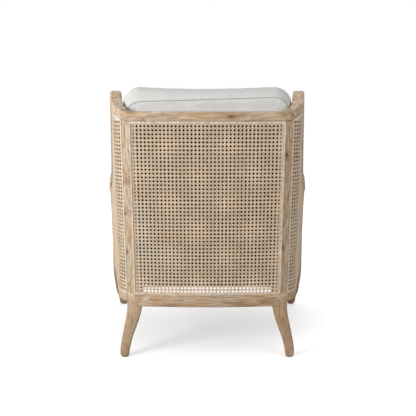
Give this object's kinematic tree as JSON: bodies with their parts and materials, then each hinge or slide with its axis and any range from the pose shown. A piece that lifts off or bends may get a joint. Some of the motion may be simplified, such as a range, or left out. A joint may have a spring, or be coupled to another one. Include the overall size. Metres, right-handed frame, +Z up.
{
  "type": "armchair",
  "caption": "Armchair with a wooden frame, woven cane in its bowed back and curved sides, sabre legs, wings that sweep down to the arms, and loose seat and back cushions.",
  "frame": {"origin": "centre of the overall box on the floor, under the foot glides", "axes": "+Z up, the chair's front faces -Y, +X is the sitter's left"},
  "size_m": [0.8222, 0.7198, 0.9229],
  "materials": {
    "limed_oak": "limed and waxed, with white in the open grain",
    "hidden_timber": "plain sawn hardwood",
    "cane": "natural woven cane with a light sheen",
    "reed": "whitened reed",
    "linen": "plain-woven pale linen",
    "dark_lining": "dark lining cloth",
    "foam": "foam wrapped in wadding",
    "jute": "jute webbing",
    "black_cloth": "thin black dust cloth",
    "screw_steel": "zinc plated",
    "glide_plastic": "moulded glide"
  },
  "bodies": {
    "frame": {"crest_rail": "limed_oak", "bottom_back_rail": "limed_oak", "wing_rail_left": "limed_oak", "wing_rail_right": "limed_oak", "wing_stile_left": "limed_oak", "wing_stile_right": "limed_oak", "arm_rail_left": "limed_oak", "arm_rail_right": "limed_oak", "rear_leg_left": "limed_oak", "rear_leg_right": "limed_oak", "front_leg_left": "limed_oak", "front_leg_right": "limed_oak", "side_seat_rail_left": "limed_oak", "side_seat_rail_right": "limed_oak", "front_seat_rail": "limed_oak", "seat_side_board_left": "hidden_timber", "seat_side_board_right": "hidden_timber", "seat_rear_board": "hidden_timber", "seat_front_board": "hidden_timber", "corner_blocks": "hidden_timber", "block_screws": "screw_steel", "webbing_lengthwise": "jute", "webbing_crosswise": "jute", "seat_platform": "linen", "dust_cover": "black_cloth", "front_band": "linen", "back_cane": "cane", "side_cane_left": "cane", "side_cane_right": "cane", "back_spline": "reed", "side_spline_left": "reed", "side_spline_right": "reed", "back_lining": "dark_lining", "side_lining_left": "dark_lining", "side_lining_right": "dark_lining", "inner_back_rail": "hidden_timber", "back_pad": "linen", "side_pad_left": "linen", "side_pad_right": "linen", "frame_dowels": "hidden_timber", "foot_glides": "glide_plastic"},
    "seat_cushion": {"seat_cushion_cover": "linen", "seat_cushion_core": "foam"},
    "back_cushion": {"back_cushion_cover": "linen", "back_cushion_core": "foam"}
  },
  "joints": [
    {"name": "seat_cushion_slide", "type": "slide", "parent": "frame", "child": "seat_cushion", "axis": [0, -0.9976, 0.0698], "range_m": [0, 0.6]},
    {"name": "back_cushion_lift", "type": "slide", "parent": "frame", "child": "back_cushion", "axis": [0, 0.1392, 0.9903], "range_m": [0, 0.45]}
  ]
}
